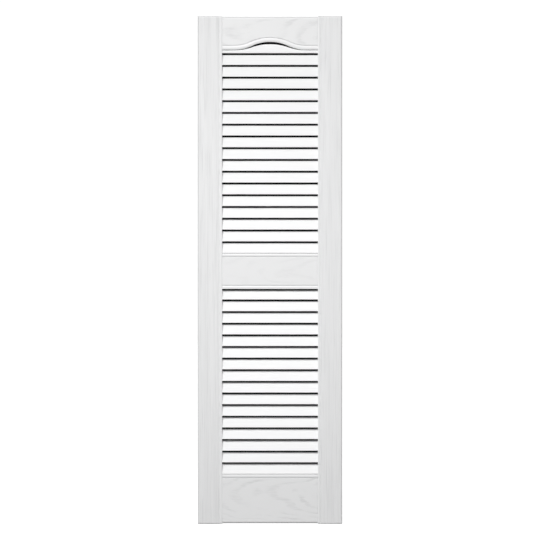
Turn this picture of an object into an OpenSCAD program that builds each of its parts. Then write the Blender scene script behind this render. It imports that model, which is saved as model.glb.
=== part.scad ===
// Louvred exterior shutter: two stiles, three rails and two louvre panels, screwed together from behind.
// X runs to the right, Y runs into the wall and Z runs up.
// The origin is the middle of the back plane, which lies against the wall.

/* [Overall] */
// Width over both stiles
shutter_w = 368.3; // [300:0.1:460]
// Height of the stiles
shutter_h = 1295.4; // [1000:0.1:1600]
// Depth from the wall to the face of the stiles
shutter_d = 25.4; // [21:0.1:32]
// Thickness of the moulded walls
wall_t = 2.4; // [1.8:0.1:3]
// Thickness of the ribs inside the hollow backs
rib_t = 2; // [1.2:0.1:2.4]

/* [Stiles] */
// Width of the face of each stile
stile_w = 62; // [50:0.5:76]
// Radius of the outer edges
edge_r = 4.5; // [1:0.25:5]
// Radius of the front edges of the ends
end_r = 4; // [1:0.25:5]
// Distance from the inner edge of a stile to the middle of its groove, which runs down the front of the web
stile_bead_w = 6.8; // [6:0.1:12]
// Width of the groove of a stile
stile_groove_w = 1.4; // [0.8:0.1:1.6]
// Widest spacing of the ribs across a stile
stile_rib_pitch = 130; // [60:5:200]
// Distance that the ribs of a stile stop short of the screw ears
rib_clear = 1.4; // [0.5:0.1:3]

/* [Mouldings] */
// Width of the grooves beside the beads of the rails
groove_w = 2; // [0.8:0.1:2.4]
// Depth of the grooves beside the beads
groove_d = 2.8; // [1.2:0.1:3.4]
// Height of the crown of a bead above its sides
bead_h = 0.5; // [0.3:0.1:1]
// Width of the ledge between the edge of a rail and its bead
bead_ledge = 0.4; // [0.2:0.1:1]
// Distance that the crown of a rail's bead lies behind the face of the rail
bead_sink = 0.1; // [0.05:0.05:0.3]
// Distance from the edge of a straight rail to the middle of its groove
rail_bead_w = 8.7; // [6:0.1:12]
// Distance from the edge of the arch to the middle of its groove
arch_bead_w = 10.2; // [6:0.1:14]

/* [Rails] */
// Distance that the rails stop short of the ends of the stiles
rail_inset = 2; // [0:0.5:6]
// Width of the open joint between a stile and the face of a rail
reveal_w = 0.9; // [0.3:0.1:1.5]
// Distance that the face of a rail lies behind the face of the stiles
rail_setback = 1.3; // [0.6:0.1:2]
// Height of the top rail beside its arch
top_rail_h = 83.6; // [60:0.1:110]
// Height of the middle rail
middle_rail_h = 90.5; // [60:0.1:120]
// Height of the centre of the middle rail above the centre of the shutter
middle_rail_z = -3; // [-20:0.5:20]
// Height of the bottom rail
bottom_rail_h = 124.5; // [90:0.1:160]
// Radius of the outer edge of the top and bottom rails
rail_edge_r = 5; // [0.5:0.25:5]
// Widest spacing of the upright ribs in a rail
rail_rib_pitch = 55; // [30:1:90]

/* [Arch] */
// Half of the width of the arch
arch_half_w = 92; // [60:1:110]
// Height of the crown of the arch
arch_rise = 20.4; // [10:0.1:26]
// Open height above the arched louvre beside the arch
arch_gap = 1.4; // [1:0.1:3]
// Open height above the arched louvre at the crown
crown_gap = 5.9; // [3:0.1:9]
// Height of the arched louvre beside the arch
arch_louvre_h = 7.5; // [5:0.1:12]

/* [Louvres] */
// Spacing of the louvres, which each panel rounds to divide its height evenly
louvre_pitch = 29.8; // [24:0.1:40]
// Height cut from the top louvre of the lower panel
lower_cut = 2.5; // [0:0.1:6]
// Open height between one louvre and the next
louvre_gap = 4.5; // [4:0.1:8]
// Open height between the lowest louvre of a panel and the rail below
foot_gap = 0.8; // [0.3:0.1:2]
// Thickness of a louvre
louvre_t = 2.2; // [1.5:0.1:3]
// Height of the rounded lip of a louvre
lip_h = 2.4; // [1.8:0.1:3]
// Depth of the level web behind the lip
lip_web = 7; // [5:0.5:9]
// Distance that the lips lie behind the laps of the stiles
lip_setback = 0.6; // [0.3:0.1:2]
// Distance from the wall to the upper edge of the louvres
louvre_rear = 6.7; // [5:0.1:9]
// Thickness of the side plates that carry the louvres
side_t = 2.2; // [1.5:0.1:3]

/* [Fixings] */
// Clearance between a stile and the parts that fit behind its lip
fit_gap = 0.3; // [0.1:0.05:0.5]
// Distance from the wall to the back of the screw ears
ear_rear = 2.4; // [2.2:0.1:4]
// Thickness of the screw ears
ear_t = 2.2; // [1.6:0.1:3]
// Height of a screw ear
ear_h = 16; // [10:0.5:24]
// Distance that a screw ear reaches past its hole
ear_reach = 5.3; // [3:0.1:5.3]
// Clearance round a screw in the hole of its ear
ear_hole_gap = 0.3; // [0.1:0.05:0.5]
// Clearance round a screw in its pilot hole
pilot_gap = 0.1; // [0.05:0.05:0.2]
// Radius of the shank of an assembly screw
screw_r = 1.4; // [1:0.1:1.8]
// Length of an assembly screw under its head
screw_l = 12; // [8:0.5:14]
// Radius of the head of an assembly screw
screw_head_r = 2.9; // [2.2:0.1:3.6]
// Height of the head of an assembly screw
screw_head_h = 1.9; // [1.2:0.1:2.1]
// Radius of the bosses for the assembly screws
boss_r = 3.5; // [2.8:0.1:4.5]
// Radius of the sockets for the wall fasteners
wall_hole_r = 3.2; // [2:0.1:4]
// Depth of the sockets for the wall fasteners
wall_hole_l = 18; // [12:0.5:18]
// Radius of the bosses round the wall fastener sockets
wall_boss_r = 7; // [5:0.5:9]
// Distance from the end of a stile to its wall fastener socket
wall_hole_end = 76.2; // [50:0.1:120]
// Distance from the outer edge of a stile to its wall fastener sockets
wall_hole_side = 20; // [14:0.5:20]

/* [Hidden] */
$fn = 48;

overcut = 0.5;
shell_color = "white";
screw_color = "silver";

// Stations across the shutter, measured from its centre line
half_w = shutter_w / 2;
half_h = shutter_h / 2;
lip_x = half_w - stile_w;
web_x = lip_x + stile_bead_w - wall_t / 2;
web_outer_x = web_x + wall_t;
infill_x = web_x - fit_gap;
rail_face_x = lip_x - reveal_w;
boss_x = web_outer_x + boss_r - overcut;
ear_end_x = boss_x + ear_reach;
wall_hole_x = half_w - wall_hole_side;

// Stations through the depth, measured from the wall
face_y = -shutter_d;
stile_back_y = face_y + wall_t;
infill_y = stile_back_y + fit_gap;
rail_face_y = face_y + rail_setback;
rail_back_y = rail_face_y + wall_t;
ear_y = -ear_rear - ear_t;
louvre_y = stile_back_y + lip_setback;
stile_rib_y = ear_y - rib_clear;

// Stations up the shutter, measured from its centre
rail_top_z = half_h - rail_inset;
arch_z = rail_top_z - top_rail_h;
upper_field_z = arch_z - arch_gap - arch_louvre_h;
middle_top_z = middle_rail_z + middle_rail_h / 2;
middle_low_z = middle_rail_z - middle_rail_h / 2;
bottom_low_z = -half_h + rail_inset;
bottom_top_z = bottom_low_z + bottom_rail_h;

// The arched louvre rises less than the rail above it, so the slot between them opens towards the crown
louvre_arch_rise = arch_rise - crown_gap + arch_gap;

// Holes for the assembly screws
ear_hole_r = screw_r + ear_hole_gap;
pilot_r = screw_r + pilot_gap;
pilot_l = screw_l + 1;

// Heights of the screw ears on each part
top_ears = ear_heights(arch_z, rail_top_z, 2);
upper_ears = ear_heights(middle_top_z, arch_z, 3);
middle_ears = ear_heights(middle_low_z, middle_top_z, 2);
lower_ears = ear_heights(bottom_top_z, middle_low_z, 3);
bottom_ears = ear_heights(bottom_low_z, bottom_top_z, 2);
all_ears = concat(top_ears, upper_ears, middle_ears, lower_ears, bottom_ears);

// Heights of the middles of equal shares of a part
function ear_heights(low, high, count) =
    [for (i = [0:count - 1]) low + (high - low) * (i + 0.5) / count];

// Points along an arc
function arc(x, y, r, from, to, steps = 12) =
    [for (i = [0:steps]) let (a = from + (to - from) * i / steps) [x + r * cos(a), y + r * sin(a)]];

// Points along the crown of a bead, from one side to the other, with its top at depth top
function bead_crown(width, top) =
    let (r = (width * width / 4 + bead_h * bead_h) / (2 * bead_h), half = asin(width / 2 / r))
    arc(width / 2, top + r, r, -90 - half, -90 + half);

// Points along the arch, moved into the rail by lift, from its left foot to its right foot
function arch_points(rise, lift) =
    let (turn = 2 * atan(rise / arch_half_w), r = arch_half_w / 2 / sin(turn))
    let (left = arc(-arch_half_w, r, r - lift, -90, -90 + turn))
    let (right = arc(arch_half_w, r, r - lift, -90 - turn, -90))
    concat(
        [for (i = [0:len(left) - 2]) left[i]],
        arc(0, rise - r, r + lift, 90 + turn, 90 - turn, 24),
        [for (i = [1:len(right) - 1]) right[i]]);

// Spreads an XZ outline from y to y + t
module slab(y, t) {
    translate([0, y + t, 0])
        rotate([90, 0, 0])
            linear_extrude(height = t)
                children();
}

// Spreads a YZ outline from x_low to x_high
module bar(x_low, x_high) {
    translate([x_low, 0, 0])
        rotate([90, 0, 90])
            linear_extrude(height = x_high - x_low)
                children();
}

// Copies its children onto both sides
module both_sides() {
    for (side = [0, 1])
        mirror([side, 0, 0])
            children();
}

// ---- Stiles ----

// Outline across the right stile: the outer side, the face, the bead and the inner web
module stile_section() {
    groove_low_x = lip_x + stile_bead_w - stile_groove_w / 2;
    groove_high_x = groove_low_x + stile_groove_w;
    bead = [for (p = bead_crown(groove_low_x - lip_x, 0)) [lip_x + p[0], face_y + p[1]]];
    notch_x = web_outer_x + 2 * overcut;
    polygon(concat(
        [[notch_x, 0], [notch_x, ear_y], [web_x, ear_y], [web_x, stile_back_y], [lip_x, stile_back_y]],
        bead,
        [[groove_low_x, face_y + groove_d], [groove_high_x, face_y + groove_d], [groove_high_x, face_y]],
        arc(half_w - edge_r, face_y + edge_r, edge_r, -90, 0, 8),
        [[half_w, 0]]));
}

// Outline of a stile from the side, with its front corners rounded
module stile_side() {
    polygon(concat(
        [[0, half_h]],
        arc(face_y + end_r, half_h - end_r, end_r, 90, 180, 8),
        arc(face_y + end_r, -half_h + end_r, end_r, 180, 270, 8),
        [[0, -half_h]]));
}

// Ribs, screw bosses and wall fastener bosses inside the right stile
module stile_inside() {
    rib_count = ceil(shutter_h / stile_rib_pitch);
    rib_step = shutter_h / rib_count;
    for (i = [1:rib_count - 1])
        translate([web_outer_x - overcut, stile_back_y - overcut, -half_h + i * rib_step - rib_t / 2])
            cube([half_w - wall_t - web_outer_x + 2 * overcut, stile_rib_y - stile_back_y + overcut, rib_t]);
    for (z = all_ears)
        translate([boss_x, stile_back_y - overcut, z])
            rotate([-90, 0, 0])
                cylinder(r = boss_r, h = ear_y - stile_back_y + overcut);
    for (end = [-1, 1])
        translate([wall_hole_x, stile_back_y - overcut, end * (half_h - wall_hole_end)])
            rotate([-90, 0, 0])
                cylinder(r = wall_boss_r, h = -stile_back_y + overcut);
}

// Pilot holes for the assembly screws and sockets for the wall fasteners
module stile_holes() {
    for (z = all_ears)
        translate([boss_x, ear_y + overcut, z])
            rotate([90, 0, 0])
                cylinder(r = pilot_r, h = pilot_l - ear_t + overcut);
    for (end = [-1, 1])
        translate([wall_hole_x, overcut, end * (half_h - wall_hole_end)])
            rotate([90, 0, 0])
                cylinder(r = wall_hole_r, h = wall_hole_l + overcut);
}

// The right stile, open at the back like every moulding here
module stile() {
    difference() {
        union() {
            difference() {
                intersection() {
                    translate([0, 0, -half_h])
                        linear_extrude(height = shutter_h)
                            stile_section();
                    bar(lip_x - 1, half_w + 1)
                        stile_side();
                }
                translate([web_outer_x, stile_back_y, -half_h + wall_t])
                    cube([half_w - wall_t - web_outer_x, shutter_d, shutter_h - 2 * wall_t]);
            }
            stile_inside();
        }
        stile_holes();
    }
}

module left_stile() {
    color(shell_color)
        mirror([1, 0, 0])
            stile();
}

module right_stile() {
    color(shell_color)
        stile();
}

// ---- Rails ----

// Front outline of a rail, drawn in by inset; an arched one has its lower edge curved
module rail_outline(half, low, high, inset, arched) {
    x = half - inset;
    lower_edge = arched
        ? [for (p = arch_points(arch_rise, inset)) [p[0], low + p[1]]]
        : [];
    polygon(concat(
        [[x, high - inset], [-x, high - inset], [-x, low + inset]],
        lower_edge,
        [[x, low + inset]]));
}

// Section of what is cut away in front of a bead: u runs in from the edge, v runs back from the face
function bead_cut(bead_w) =
    let (groove = bead_w - groove_w / 2)
    concat(
        [[-overcut, -overcut], [-overcut, bead_sink + bead_h]],
        [for (p = bead_crown(groove - bead_ledge, bead_sink)) [bead_ledge + p[0], p[1]]],
        [[groove, groove_d], [groove + groove_w, groove_d], [groove + groove_w, -overcut]]);

// Cuts a straight bead; up is 1 where the rail lies above its edge and -1 where it lies below
module straight_bead(bead_w, edge_z, up, x_low, x_high) {
    bar(x_low, x_high)
        polygon([for (p = bead_cut(bead_w)) [rail_face_y + p[1], edge_z + up * p[0]]]);
}

// Cuts the bead that follows the arch and the level edge on each side of it
module arched_bead() {
    section = bead_cut(arch_bead_w);
    end_x = infill_x + 1;
    rows = [for (p = section) concat([[-end_x, p[0]]], arch_points(arch_rise, p[0]), [[end_x, p[0]]])];
    n = len(rows[0]);
    m = len(section);
    polyhedron(
        points = [for (j = [0:m - 1]) for (q = rows[j]) [q[0], rail_face_y + section[j][1], arch_z + q[1]]],
        faces = concat(
            [for (j = [0:m - 1]) for (i = [0:n - 2]) let (a = j * n + i, b = (j + 1) % m * n + i)
                [a, a + 1, b + 1, b]],
            [[for (j = [0:m - 1]) j * n], [for (j = [m - 1:-1:0]) j * n + n - 1]]));
}

// Screw ears that reach behind the stiles on both sides of a rail or louvre panel
module ears(heights, inner_x) {
    both_sides()
        for (z = heights)
            translate([inner_x, ear_y, z - ear_h / 2])
                cube([ear_end_x - inner_x, ear_t, ear_h]);
}

// Clearance holes for the assembly screws in the ears
module ear_holes(heights) {
    both_sides()
        for (z = heights)
            translate([boss_x, -ear_rear + overcut, z])
                rotate([90, 0, 0])
                    cylinder(r = ear_hole_r, h = ear_t + 2 * overcut);
}

// A rail before its beads are cut: the face, the stepped tongues, the side walls and the ribs.
// A band behind the face keeps the wall whole under the grooves.
module rail_blank(low, high, heights, groove, arched) {
    step_x = rail_face_x - wall_t;
    rib_count = ceil(2 * infill_x / rail_rib_pitch / 2) * 2;
    rib_step = 2 * infill_x / rib_count;
    slab(rail_face_y, wall_t)
        rail_outline(rail_face_x, low, high, 0, arched);
    slab(infill_y, wall_t)
        intersection() {
            rail_outline(infill_x, low, high, 0, arched);
            both_sides()
                translate([step_x, low])
                    square([infill_x, high - low]);
        }
    slab(infill_y, -infill_y)
        difference() {
            rail_outline(infill_x, low, high, 0, arched);
            rail_outline(infill_x, low, high, wall_t, arched);
        }
    slab(rail_back_y - overcut, groove_d + overcut)
        difference() {
            rail_outline(infill_x, low, high, groove - groove_w / 2 - wall_t, arched);
            rail_outline(infill_x, low, high, groove + groove_w / 2 + wall_t, arched);
        }
    slab(rail_back_y - overcut, -rail_back_y + overcut)
        intersection() {
            rail_outline(infill_x, low, high, wall_t / 2, arched);
            for (i = [1:rib_count - 1])
                translate([-infill_x + i * rib_step - rib_t / 2, low])
                    square([rib_t, high - low]);
        }
    ears(heights, infill_x - wall_t / 2);
}

// Side outline that rounds the outer edge of an end rail; up is 1 on the top rail and -1 on the bottom one
module end_rail_side(edge_z, up) {
    polygon(concat(
        [[0, edge_z], [0, edge_z - up * shutter_h / 2], [rail_face_y - 1, edge_z - up * shutter_h / 2]],
        [[rail_face_y - 1, edge_z - up * (rail_edge_r + 1)]],
        arc(rail_face_y + rail_edge_r, edge_z - up * rail_edge_r, rail_edge_r, 180, 180 - up * 90, 8)));
}

module top_rail() {
    color(shell_color)
        difference() {
            intersection() {
                rail_blank(arch_z, rail_top_z, top_ears, arch_bead_w, true);
                bar(-half_w, half_w)
                    end_rail_side(rail_top_z, 1);
            }
            arched_bead();
            ear_holes(top_ears);
        }
}

module middle_rail() {
    color(shell_color)
        difference() {
            rail_blank(middle_low_z, middle_top_z, middle_ears, rail_bead_w, false);
            straight_bead(rail_bead_w, middle_top_z, -1, -infill_x - 1, infill_x + 1);
            straight_bead(rail_bead_w, middle_low_z, 1, -infill_x - 1, infill_x + 1);
            ear_holes(middle_ears);
        }
}

module bottom_rail() {
    color(shell_color)
        difference() {
            intersection() {
                rail_blank(bottom_low_z, bottom_top_z, bottom_ears, rail_bead_w, false);
                bar(-half_w, half_w)
                    end_rail_side(bottom_low_z, -1);
            }
            straight_bead(rail_bead_w, bottom_top_z, -1, -infill_x - 1, infill_x + 1);
            ear_holes(bottom_ears);
        }
}

// ---- Louvre panels ----

// Section of a louvre that stands on its lip at height z: a sloping blade with a level web behind the lip
module louvre_section(z, rise) {
    nose_r = lip_h / 2;
    nose_y = louvre_y + nose_r;
    reach = [-louvre_rear - nose_y, rise - nose_r];
    tilt = atan2(reach[0], reach[1]) + asin(nose_r / norm(reach));
    back_y = -louvre_rear + louvre_t / cos(tilt);
    inside_y = nose_y + ((lip_h - nose_r) * sin(tilt) + louvre_t - nose_r) / cos(tilt);
    translate([0, z])
        polygon(concat(
            arc(nose_y, nose_r, nose_r, -90, -180 - tilt, 8),
            [[-louvre_rear, rise], [back_y, rise], [inside_y, lip_h]],
            [[louvre_y + lip_web, lip_h], [louvre_y + lip_web, 0]]));
}

// Louvres that step up a field evenly, each with an open slot above it; the top one is shorter by cut
module louvres(low, high, cut) {
    count = round((high - low) / louvre_pitch);
    pitch = (high - low + cut) / count;
    bar(-infill_x + side_t / 2, infill_x - side_t / 2)
        for (i = [0:count - 1])
            louvre_section(low + i * pitch, pitch - louvre_gap - (i == count - 1 ? cut : 0));
}

// Side plates that carry the louvres, with their screw ears
module panel_sides(low, high, heights) {
    both_sides()
        translate([infill_x - side_t, infill_y, low])
            cube([side_t, -infill_y, high - low]);
    ears(heights, infill_x - side_t / 2);
}

// The louvre whose upper edge follows the arch of the top rail
module arched_louvre() {
    x = infill_x - side_t / 2;
    rise = arch_louvre_h + louvre_arch_rise + overcut;
    top_edge = [for (p = arch_points(louvre_arch_rise, 0)) [p[0], arch_z - arch_gap + p[1]]];
    intersection() {
        bar(-x, x)
            louvre_section(upper_field_z, rise);
        slab(face_y, shutter_d)
            polygon(concat(
                [[x + 1, arch_z - arch_gap], [x + 1, upper_field_z - 1], [-x - 1, upper_field_z - 1]],
                [[-x - 1, arch_z - arch_gap]],
                top_edge));
    }
}

module upper_louvre_panel() {
    color(shell_color)
        difference() {
            union() {
                panel_sides(middle_top_z, arch_z, upper_ears);
                louvres(middle_top_z + foot_gap, upper_field_z, 0);
                arched_louvre();
            }
            ear_holes(upper_ears);
        }
}

module lower_louvre_panel() {
    color(shell_color)
        difference() {
            union() {
                panel_sides(bottom_top_z, middle_low_z, lower_ears);
                louvres(bottom_top_z + foot_gap, middle_low_z, lower_cut);
            }
            ear_holes(lower_ears);
        }
}

// ---- Assembly screws ----

// A pan head screw with a cross recess, driven towards the front; its head seats at y = 0
module screw() {
    point_l = 2 * screw_r;
    recess_l = 1.3 * screw_head_r;
    recess_w = 0.8;
    difference() {
        union() {
            rotate([-90, 0, 0])
                cylinder(r = screw_head_r, h = screw_head_h);
            rotate([90, 0, 0])
                cylinder(r = screw_r, h = screw_l - point_l);
            translate([0, point_l - screw_l, 0])
                rotate([90, 0, 0])
                    cylinder(r1 = screw_r, r2 = 0.2, h = point_l);
        }
        for (turn = [0, 90])
            rotate([0, turn, 0])
                translate([-recess_l / 2, screw_head_h * 0.4, -recess_w / 2])
                    cube([recess_l, screw_head_h, recess_w]);
    }
}

module assembly_screws() {
    color(screw_color)
        both_sides()
            for (z = all_ears)
                translate([boss_x, -ear_rear, z])
                    screw();
}

left_stile();
right_stile();
top_rail();
upper_louvre_panel();
middle_rail();
lower_louvre_panel();
bottom_rail();
assembly_screws();
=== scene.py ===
import math

import bmesh
import bpy
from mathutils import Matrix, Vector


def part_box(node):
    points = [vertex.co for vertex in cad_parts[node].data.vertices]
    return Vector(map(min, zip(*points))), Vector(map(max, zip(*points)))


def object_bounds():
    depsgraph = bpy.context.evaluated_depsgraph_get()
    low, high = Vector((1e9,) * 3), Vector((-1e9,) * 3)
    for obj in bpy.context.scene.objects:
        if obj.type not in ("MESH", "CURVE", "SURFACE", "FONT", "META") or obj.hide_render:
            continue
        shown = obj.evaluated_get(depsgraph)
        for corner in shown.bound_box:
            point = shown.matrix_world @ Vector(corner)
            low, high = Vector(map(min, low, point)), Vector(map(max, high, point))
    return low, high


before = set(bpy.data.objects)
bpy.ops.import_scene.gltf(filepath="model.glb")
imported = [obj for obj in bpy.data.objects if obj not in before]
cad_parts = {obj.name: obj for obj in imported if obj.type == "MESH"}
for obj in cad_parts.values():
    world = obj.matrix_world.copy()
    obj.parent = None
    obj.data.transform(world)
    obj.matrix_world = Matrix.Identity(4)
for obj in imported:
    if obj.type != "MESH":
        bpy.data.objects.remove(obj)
cad_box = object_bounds()
shutter_low, shutter_high = cad_box

# ---------------------------------------------------------------------------
# Stiles: the two upright frame members, injection moulded in white vinyl.
# Each is a hollow channel with a quirked bead down its inner edge. Only its flat
# face carries the upright grain of the wood that the mould was textured from.

# The smooth colour is painted lighter than the face colour of the same vinyl: a painted highlight on the
# beads, quirks and edges, and a painted shade on the grained face.
SMOOTH_VINYL_PAINTED_HIGHLIGHT = (0.83, 0.832, 0.835, 1)
VINYL_FACE = (0.8, 0.802, 0.805, 1)
VINYL_PORE = (0.7, 0.702, 0.706, 1)
TEXTURE_DEPTH = 0.00005
FACE_RELIEF = 0.0003
RELIEF_STRENGTH = 0.6
SKIN_ROUGHNESS = 0.42
FACE_PORE_ROUGHNESS = 0.6
VINYL_IOR = 1.5


def new_finish(name):
    finish = bpy.data.materials.new(name)
    finish.use_nodes = True
    tree = finish.node_tree
    return finish, tree.nodes, tree.links, tree.nodes["Principled BSDF"]


def stretched_coordinates(nodes, links, shift, scale):
    place = nodes.new("ShaderNodeTexCoord")
    mapping = nodes.new("ShaderNodeMapping")
    mapping.inputs["Location"].default_value = shift
    mapping.inputs["Scale"].default_value = scale
    links.new(place.outputs["Object"], mapping.inputs["Vector"])
    return mapping.outputs["Vector"]


def fibres(nodes, links, shift, scale, detail, roughness):
    noise = nodes.new("ShaderNodeTexNoise")
    noise.inputs["Scale"].default_value = 1
    noise.inputs["Detail"].default_value = detail
    noise.inputs["Roughness"].default_value = roughness
    links.new(stretched_coordinates(nodes, links, shift, scale), noise.inputs["Vector"])
    return noise.outputs["Fac"]


def remap(nodes, links, value, low, high, new_low, new_high):
    node = nodes.new("ShaderNodeMapRange")
    node.inputs["From Min"].default_value = low
    node.inputs["From Max"].default_value = high
    node.inputs["To Min"].default_value = new_low
    node.inputs["To Max"].default_value = new_high
    links.new(value, node.inputs["Value"])
    return node.outputs["Result"]


def math_node(nodes, links, operation, *values):
    node = nodes.new("ShaderNodeMath")
    node.operation = operation
    for socket, value in zip(node.inputs, values):
        if isinstance(value, (int, float)):
            socket.default_value = value
        else:
            links.new(value, socket)
    return node.outputs["Value"]


def object_axis(nodes, links, axis):
    place = nodes.new("ShaderNodeTexCoord")
    axes = nodes.new("ShaderNodeSeparateXYZ")
    links.new(place.outputs["Object"], axes.inputs["Vector"])
    return axes.outputs[axis]


def mix_colours(nodes, links, factor, first, second):
    mix = nodes.new("ShaderNodeMix")
    mix.data_type = "RGBA"
    for socket, colour in ((mix.inputs["A"], first), (mix.inputs["B"], second)):
        if isinstance(colour, tuple):
            socket.default_value = colour
        else:
            links.new(colour, socket)
    links.new(factor, mix.inputs["Factor"])
    return mix.outputs["Result"]


def emboss(nodes, links, shader, grain, height):
    relief = nodes.new("ShaderNodeBump")
    relief.inputs["Strength"].default_value = RELIEF_STRENGTH
    relief.inputs["Distance"].default_value = height
    links.new(grain, relief.inputs["Height"])
    links.new(relief.outputs["Normal"], shader.inputs["Normal"])


def finish_frame(nodes, links, shader, grain, face_y):
    behind = math_node(nodes, links, "SUBTRACT", object_axis(nodes, links, "Y"), face_y)
    smooth = remap(nodes, links, behind, TEXTURE_DEPTH / 2, TEXTURE_DEPTH, 0, 1)
    face = mix_colours(nodes, links, grain, VINYL_PORE, VINYL_FACE)
    # Surfaces set back from the face take the lighter smooth colour, a painted highlight.
    links.new(mix_colours(nodes, links, smooth, face, SMOOTH_VINYL_PAINTED_HIGHLIGHT), shader.inputs["Base Color"])
    relief = math_node(nodes, links, "MAXIMUM", grain, smooth)
    links.new(remap(nodes, links, relief, 0, 1, FACE_PORE_ROUGHNESS, SKIN_ROUGHNESS),
              shader.inputs["Roughness"])
    shader.inputs["IOR"].default_value = VINYL_IOR
    emboss(nodes, links, shader, relief, FACE_RELIEF)


def stile_vinyl(name, shift, face_y):
    finish, nodes, links, shader = new_finish(name)
    pores = fibres(nodes, links, shift, (620, 300, 9), 3, 0.55)
    bands = fibres(nodes, links, shift, (95, 60, 1.6), 2, 0.5)
    grain = math_node(nodes, links, "MULTIPLY",
                      remap(nodes, links, pores, 0.33, 0.47, 0.2, 1),
                      remap(nodes, links, bands, 0.3, 0.6, 0.7, 1))
    finish_frame(nodes, links, shader, grain, face_y)
    return finish


def dress(node, finish):
    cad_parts[node].data.materials.clear()
    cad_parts[node].data.materials.append(finish)


stile_face_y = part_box("left_stile")[0][1]
dress("left_stile", stile_vinyl("left stile vinyl", (0.3, 0, 0.7), stile_face_y))
dress("right_stile", stile_vinyl("right stile vinyl", (5.1, 0, 3.9), stile_face_y))

# ---------------------------------------------------------------------------
# Rails: the three cross members, moulded in the same vinyl and set a little
# back from the stiles. Their faces carry a flat-sawn figure whose nested arches
# point to the left, over fine level pores.

RINGS_ALONG = 13
RINGS_ACROSS = 850
RING_WANDER = 3


def rail_vinyl(name, heart_z, contrast, shift, face_y):
    finish, nodes, links, shader = new_finish(name)
    rise = math_node(nodes, links, "SUBTRACT", object_axis(nodes, links, "Z"), heart_z)
    arch = math_node(nodes, links, "MULTIPLY",
                     math_node(nodes, links, "MULTIPLY", rise, rise), RINGS_ACROSS)
    along = math_node(nodes, links, "MULTIPLY", object_axis(nodes, links, "X"), RINGS_ALONG)
    wander = math_node(nodes, links, "MULTIPLY",
                       fibres(nodes, links, shift, (7, 7, 14), 3, 0.5), RING_WANDER)
    ring = math_node(nodes, links, "ADD",
                     math_node(nodes, links, "SUBTRACT", arch, along), wander)
    waves = math_node(nodes, links, "SINE", math_node(nodes, links, "MULTIPLY", ring, 2 * math.pi))
    pores = fibres(nodes, links, shift, (60, 300, 520), 3, 0.6)
    rough_wave = math_node(nodes, links, "ADD", waves,
                           remap(nodes, links, pores, 0.3, 0.7, -0.7, 0.7))
    line = remap(nodes, links, rough_wave, -1.2, -0.1, 1, 0)
    patches = fibres(nodes, links, shift, (16, 16, 30), 2, 0.5)
    fade = remap(nodes, links, patches, 0.38, 0.6, 0, contrast)
    grain = math_node(nodes, links, "SUBTRACT", 1, math_node(nodes, links, "MULTIPLY", line, fade))
    finish_frame(nodes, links, shader, grain, face_y)
    return finish


for node, heart_z, contrast, shift in (("top_rail", 0.6, 0.65, (1.3, 0, 4.2)),
                                       ("middle_rail", -0.01, 0.35, (7.7, 0, 2.2)),
                                       ("bottom_rail", -0.578, 1, (2.9, 0, 8.8))):
    dress(node, rail_vinyl(node.replace("_", " ") + " vinyl", heart_z, contrast, shift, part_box(node)[0][1]))

# ---------------------------------------------------------------------------
# Louvre panels: each is one moulding, with its louvres between two side plates
# that slide behind the stiles. They are smooth but for a fine, level grain.

# Both louvre colours are painted lighter than the frame's vinyl, a painted light standing in for the extra
# light on louvre faces tilted up towards the lamp.
LOUVRE_WHITE_PAINTED_LIGHT = (0.92, 0.921, 0.923, 1)
LOUVRE_PORE = (0.89, 0.892, 0.895, 1)
LOUVRE_PORE_ROUGHNESS = 0.5
LOUVRE_RELIEF = 0.00012


def louvre_vinyl(name, shift):
    finish, nodes, links, shader = new_finish(name)
    pores = fibres(nodes, links, shift, (12, 500, 700), 3, 0.55)
    grain = remap(nodes, links, pores, 0.34, 0.5, 0, 1)
    # Painted light: this base colour is lighter than the frame's vinyl.
    links.new(mix_colours(nodes, links, grain, LOUVRE_PORE, LOUVRE_WHITE_PAINTED_LIGHT), shader.inputs["Base Color"])
    links.new(remap(nodes, links, grain, 0, 1, LOUVRE_PORE_ROUGHNESS, SKIN_ROUGHNESS),
              shader.inputs["Roughness"])
    shader.inputs["IOR"].default_value = VINYL_IOR
    emboss(nodes, links, shader, grain, LOUVRE_RELIEF)
    return finish


dress("upper_louvre_panel", louvre_vinyl("upper louvre vinyl", (2.2, 0, 1.1)))
dress("lower_louvre_panel", louvre_vinyl("lower louvre vinyl", (6.4, 0, 5.3)))

# ---------------------------------------------------------------------------
# Assembly screws: zinc plated pan heads that hold the rails and panels to the
# bosses inside the stiles, driven from the back.

finish, nodes, links, shader = new_finish("zinc plated steel")
shader.inputs["Metallic"].default_value = 1
shader.inputs["Base Color"].default_value = (0.62, 0.63, 0.65, 1)
mottle = fibres(nodes, links, (0, 0, 0), (900, 900, 900), 2, 0.5)
links.new(remap(nodes, links, mottle, 0.3, 0.7, 0.28, 0.5), shader.inputs["Roughness"])
dress("assembly_screws", finish)

# ---------------------------------------------------------------------------
# Stage: a pale floor, and a matt black card close behind the louvres in place of
# the shade between a hung shutter and its wall. It is only there to a camera in
# front, so it neither hides the back nor keeps light from it.


def new_sheet(name, corners):
    sheet = bmesh.new()
    sheet.faces.new([sheet.verts.new(corner) for corner in corners])
    mesh = bpy.data.meshes.new(name)
    sheet.to_mesh(mesh)
    sheet.free()
    piece = bpy.data.objects.new(name, mesh)
    bpy.context.scene.collection.objects.link(piece)
    return mesh


def mix_shaders(nodes, links, factor, first, second):
    pick = nodes.new("ShaderNodeMixShader")
    links.new(factor, pick.inputs["Fac"])
    links.new(first, pick.inputs[1])
    links.new(second, pick.inputs[2])
    return pick.outputs["Shader"]


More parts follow.
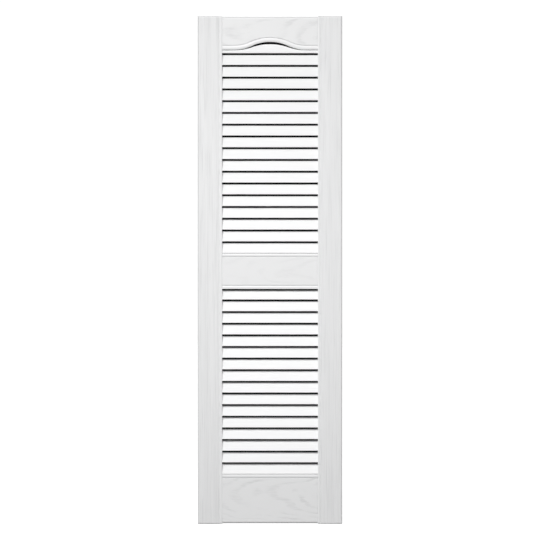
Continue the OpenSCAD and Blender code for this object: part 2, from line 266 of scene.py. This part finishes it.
FLOOR_REACH = 30
FLOOR_GLOW = 0.85
floor_z = shutter_low[2]
floor = new_sheet("floor", [(x * FLOOR_REACH, y * FLOOR_REACH, floor_z)
                            for x, y in ((-1, -1), (1, -1), (1, 1), (-1, 1))])
finish, nodes, links, shader = new_finish("pale floor")
shader.inputs["Base Color"].default_value = (0.8, 0.8, 0.8, 1)
shader.inputs["Roughness"].default_value = 0.9
shader.inputs["Emission Color"].default_value = (1, 1, 1, 1)
shader.inputs["Emission Strength"].default_value = FLOOR_GLOW
dull = nodes.new("ShaderNodeBsdfDiffuse")
dull.inputs["Color"].default_value = (0.3, 0.3, 0.3, 1)
ray = nodes.new("ShaderNodeLightPath")
links.new(mix_shaders(nodes, links, ray.outputs["Is Camera Ray"], dull.outputs["BSDF"],
                      shader.outputs["BSDF"]), nodes["Material Output"].inputs["Surface"])
floor.materials.append(finish)

CARD_MARGIN = 0.006
CARD_GAP = 0.001
CARD_RISE = 0.02
panel_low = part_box("lower_louvre_panel")[0]
panel_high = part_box("upper_louvre_panel")[1]
card_x = panel_high[0] - CARD_MARGIN
card_y = shutter_high[1] + CARD_GAP
card_top = panel_high[2] + CARD_RISE
card = new_sheet("shade card", [(-card_x, card_y, panel_low[2]), (card_x, card_y, panel_low[2]),
                                (card_x, card_y, card_top), (-card_x, card_y, card_top)])
finish, nodes, links, shader = new_finish("matt black card")
shader.inputs["Base Color"].default_value = (0.02, 0.02, 0.021, 1)
shader.inputs["Roughness"].default_value = 0.95
shader.inputs["Specular IOR Level"].default_value = 0.1
clear = nodes.new("ShaderNodeBsdfTransparent")
side = nodes.new("ShaderNodeNewGeometry")
ray = nodes.new("ShaderNodeLightPath")
in_front = math_node(nodes, links, "SUBTRACT", ray.outputs["Is Camera Ray"], side.outputs["Backfacing"])
links.new(mix_shaders(nodes, links, math_node(nodes, links, "MAXIMUM", in_front, 0),
                      clear.outputs["BSDF"], shader.outputs["BSDF"]),
          nodes["Material Output"].inputs["Surface"])
card.materials.append(finish)

# ---------------------------------------------------------------------------
# Studio: one broad soft light in front, above and a little to the left, a white
# surround, and a level camera far enough away to hold the sides parallel.


def soft_light(name, place, aim, width, height, spread, watts):
    lamp = bpy.data.lights.new(name, "AREA")
    lamp.shape = "RECTANGLE"
    lamp.size = width
    lamp.size_y = height
    lamp.spread = math.radians(spread)
    lamp.energy = watts
    stand = bpy.data.objects.new(name, lamp)
    stand.location = place
    direction = [a - b for a, b in zip(aim, place)]
    turn = math.atan2(direction[0], direction[1])
    tilt = math.atan2(direction[2], math.hypot(direction[0], direction[1]))
    stand.rotation_euler = (math.pi / 2 + tilt, 0, -turn)
    bpy.context.scene.collection.objects.link(stand)


soft_light("key light", (-0.6, -4, 1.75), (0, 0, -0.12), 1.2, 0.8, 64, 20.3)

SURROUND_LIGHT = 0.305
SURROUND_SEEN = 1.05
world = bpy.data.worlds.new("white surround")
world.use_nodes = True
bpy.context.scene.world = world
nodes, links = world.node_tree.nodes, world.node_tree.links
background = nodes["Background"]
background.inputs["Color"].default_value = (1, 1, 1, 1)
background.inputs["Strength"].default_value = SURROUND_LIGHT
seen = nodes.new("ShaderNodeBackground")
seen.inputs["Color"].default_value = (1, 1, 1, 1)
seen.inputs["Strength"].default_value = SURROUND_SEEN
ray = nodes.new("ShaderNodeLightPath")
links.new(mix_shaders(nodes, links, ray.outputs["Is Camera Ray"], background.outputs["Background"],
                      seen.outputs["Background"]), nodes["World Output"].inputs["Surface"])

camera_distance = 12.5
frame_width = 1.377
camera_data = bpy.data.cameras.new("camera")
camera_data.lens = camera_data.sensor_width * camera_distance / frame_width
camera_data.clip_end = 200
camera = bpy.data.objects.new("camera", camera_data)
camera.location = (0, shutter_low[1] - camera_distance, 0)
camera.rotation_euler = (math.pi / 2, 0, 0)
bpy.context.scene.collection.objects.link(camera)
bpy.context.scene.camera = camera
bpy.context.scene.view_settings.view_transform = "Standard"
